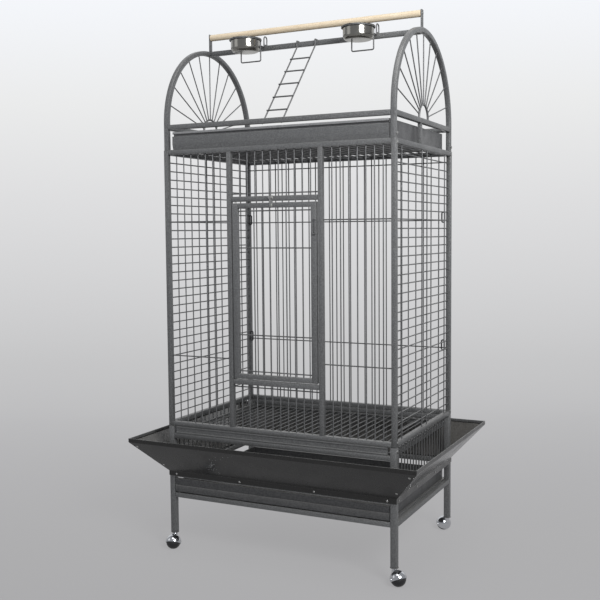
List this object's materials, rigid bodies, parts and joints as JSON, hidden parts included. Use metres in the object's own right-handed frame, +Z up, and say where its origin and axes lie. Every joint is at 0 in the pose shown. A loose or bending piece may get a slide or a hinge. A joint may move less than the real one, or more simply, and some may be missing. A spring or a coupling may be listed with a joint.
{
  "type": "parrot cage",
  "caption": "Wheeled parrot cage with an arched play top, ladder, perch and feeding bowls, a hinged front door, a flared seed guard and pull-out floor grate, waste tray and top pan.",
  "frame": {"origin": "on the floor under the middle of the cage", "axes": "+Z up; -Y is the front with the door; +X is the right-hand side seen from the front"},
  "size_m": [1.007, 0.754, 1.765],
  "materials": {
    "hammered_coat": "dark grey hammered powder coat",
    "gloss_sheet": "near-black gloss coat on sheet steel",
    "tray_sheet": "dark grey semi-gloss coat on sheet steel",
    "stainless": "polished stainless steel",
    "zinc": "bright zinc plate",
    "chrome": "polished chrome",
    "black_nylon": "satin moulded nylon",
    "pale_wood": "plain sanded dowel"
  },
  "bodies": {
    "cage": {"stand_leg_front_left": "hammered_coat", "stand_leg_front_right": "hammered_coat", "stand_leg_rear_left": "hammered_coat", "stand_leg_rear_right": "hammered_coat", "stand_rail_front_low": "hammered_coat", "stand_rail_front_high": "hammered_coat", "stand_rail_front_grate": "hammered_coat", "stand_rail_back": "hammered_coat", "stand_rail_left": "hammered_coat", "stand_rail_right": "hammered_coat", "skirt_back": "hammered_coat", "skirt_left": "hammered_coat", "skirt_right": "hammered_coat", "grate_runner_left": "hammered_coat", "grate_runner_right": "hammered_coat", "seed_guard_front": "gloss_sheet", "seed_guard_back": "gloss_sheet", "seed_guard_left": "gloss_sheet", "seed_guard_right": "gloss_sheet", "left_panel": "hammered_coat", "right_panel": "hammered_coat", "back_panel": "hammered_coat", "roof_panel": "hammered_coat", "front_rail": "hammered_coat", "front_panel_left": "hammered_coat", "front_panel_right": "hammered_coat", "door_sill": "hammered_coat", "door_header": "hammered_coat", "hinge_pin_low": "zinc", "hinge_pin_high": "zinc", "rim_rail_front": "hammered_coat", "rim_rail_back": "hammered_coat", "arch_left": "hammered_coat", "arch_right": "hammered_coat", "top_rail": "hammered_coat", "perch_post_left": "hammered_coat", "perch_post_right": "hammered_coat", "perch_dowel": "pale_wood", "bowl_holder_left": "hammered_coat", "bowl_holder_right": "hammered_coat"},
    "door": {"door": "hammered_coat"},
    "latch": {"door_latch": "zinc"},
    "button": {"turn_button": "zinc"},
    "waste_drawer": {"waste_tray": "tray_sheet", "waste_tray_front": "tray_sheet"},
    "grate_drawer": {"grate_floor": "hammered_coat", "grate_front": "hammered_coat"},
    "top_pan": {"play_top_pan": "tray_sheet", "pan_front": "hammered_coat"},
    "ladder": {"ladder": "hammered_coat"},
    "bowl_left": {"bowl_left": "stainless"},
    "bowl_right": {"bowl_right": "stainless"},
    "swivel_front_left": {"caster_hood_front_left": "chrome"},
    "swivel_front_right": {"caster_hood_front_right": "chrome"},
    "swivel_rear_left": {"caster_hood_rear_left": "chrome"},
    "swivel_rear_right": {"caster_hood_rear_right": "chrome"},
    "ball_front_left": {"caster_ball_front_left": "black_nylon"},
    "ball_front_right": {"caster_ball_front_right": "black_nylon"},
    "ball_rear_left": {"caster_ball_rear_left": "black_nylon"},
    "ball_rear_right": {"caster_ball_rear_right": "black_nylon"}
  },
  "joints": [
    {"name": "door_hinge", "type": "hinge", "parent": "cage", "child": "door", "pos_m": [-0.1385, -0.274, 0.597], "axis": [0, 0, -1], "range_deg": [0, 120]},
    {"name": "latch_pivot", "type": "hinge", "parent": "door", "child": "latch", "pos_m": [0.1445, -0.2828, 1.106], "axis": [0, 1, 0], "range_deg": [-90, 90]},
    {"name": "button_pivot", "type": "hinge", "parent": "door", "child": "button", "pos_m": [-0.007, -0.2823, 1.152], "axis": [0, 1, 0], "continuous": true},
    {"name": "waste_tray_slide", "type": "slide", "parent": "cage", "child": "waste_drawer", "axis": [0, -1, 0], "range_m": [0, 0.4]},
    {"name": "grate_slide", "type": "slide", "parent": "cage", "child": "grate_drawer", "axis": [0, -1, 0], "range_m": [0, 0.4]},
    {"name": "top_pan_slide", "type": "slide", "parent": "cage", "child": "top_pan", "axis": [0, -1, 0], "range_m": [0, 0.38]},
    {"name": "ladder_lift", "type": "slide", "parent": "cage", "child": "ladder", "axis": [0, 0, 1], "range_m": [0, 0.022]},
    {"name": "bowl_left_lift", "type": "slide", "parent": "cage", "child": "bowl_left", "axis": [0, 0, 1], "range_m": [0, 0.06]},
    {"name": "bowl_right_lift", "type": "slide", "parent": "cage", "child": "bowl_right", "axis": [0, 0, 1], "range_m": [0, 0.06]},
    {"name": "swivel_front_left_turn", "type": "hinge", "parent": "cage", "child": "swivel_front_left", "pos_m": [-0.3965, -0.27, 0.06], "axis": [0, 0, 1], "continuous": true},
    {"name": "swivel_front_right_turn", "type": "hinge", "parent": "cage", "child": "swivel_front_right", "pos_m": [0.3965, -0.27, 0.06], "axis": [0, 0, 1], "continuous": true},
    {"name": "swivel_rear_left_turn", "type": "hinge", "parent": "cage", "child": "swivel_rear_left", "pos_m": [-0.3965, 0.27, 0.06], "axis": [0, 0, 1], "continuous": true},
    {"name": "swivel_rear_right_turn", "type": "hinge", "parent": "cage", "child": "swivel_rear_right", "pos_m": [0.3965, 0.27, 0.06], "axis": [0, 0, 1], "continuous": true},
    {"name": "ball_front_left_roll", "type": "hinge", "parent": "swivel_front_left", "child": "ball_front_left", "pos_m": [-0.39007, -0.29104, 0.024], "axis": [0.9563, 0.2924, 0], "continuous": true},
    {"name": "ball_front_right_roll", "type": "hinge", "parent": "swivel_front_right", "child": "ball_front_right", "pos_m": [0.41391, -0.28345, 0.024], "axis": [0.6115, 0.7912, 0], "continuous": true},
    {"name": "ball_rear_left_roll", "type": "hinge", "parent": "swivel_rear_left", "child": "ball_rear_left", "pos_m": [-0.41717, 0.26248, 0.024], "axis": [0.342, -0.9397, 0], "continuous": true},
    {"name": "ball_rear_right_roll", "type": "hinge", "parent": "swivel_rear_right", "child": "ball_rear_right", "pos_m": [0.3794, 0.28385, 0.024], "axis": [-0.6293, -0.7771, 0], "continuous": true}
  ]
}
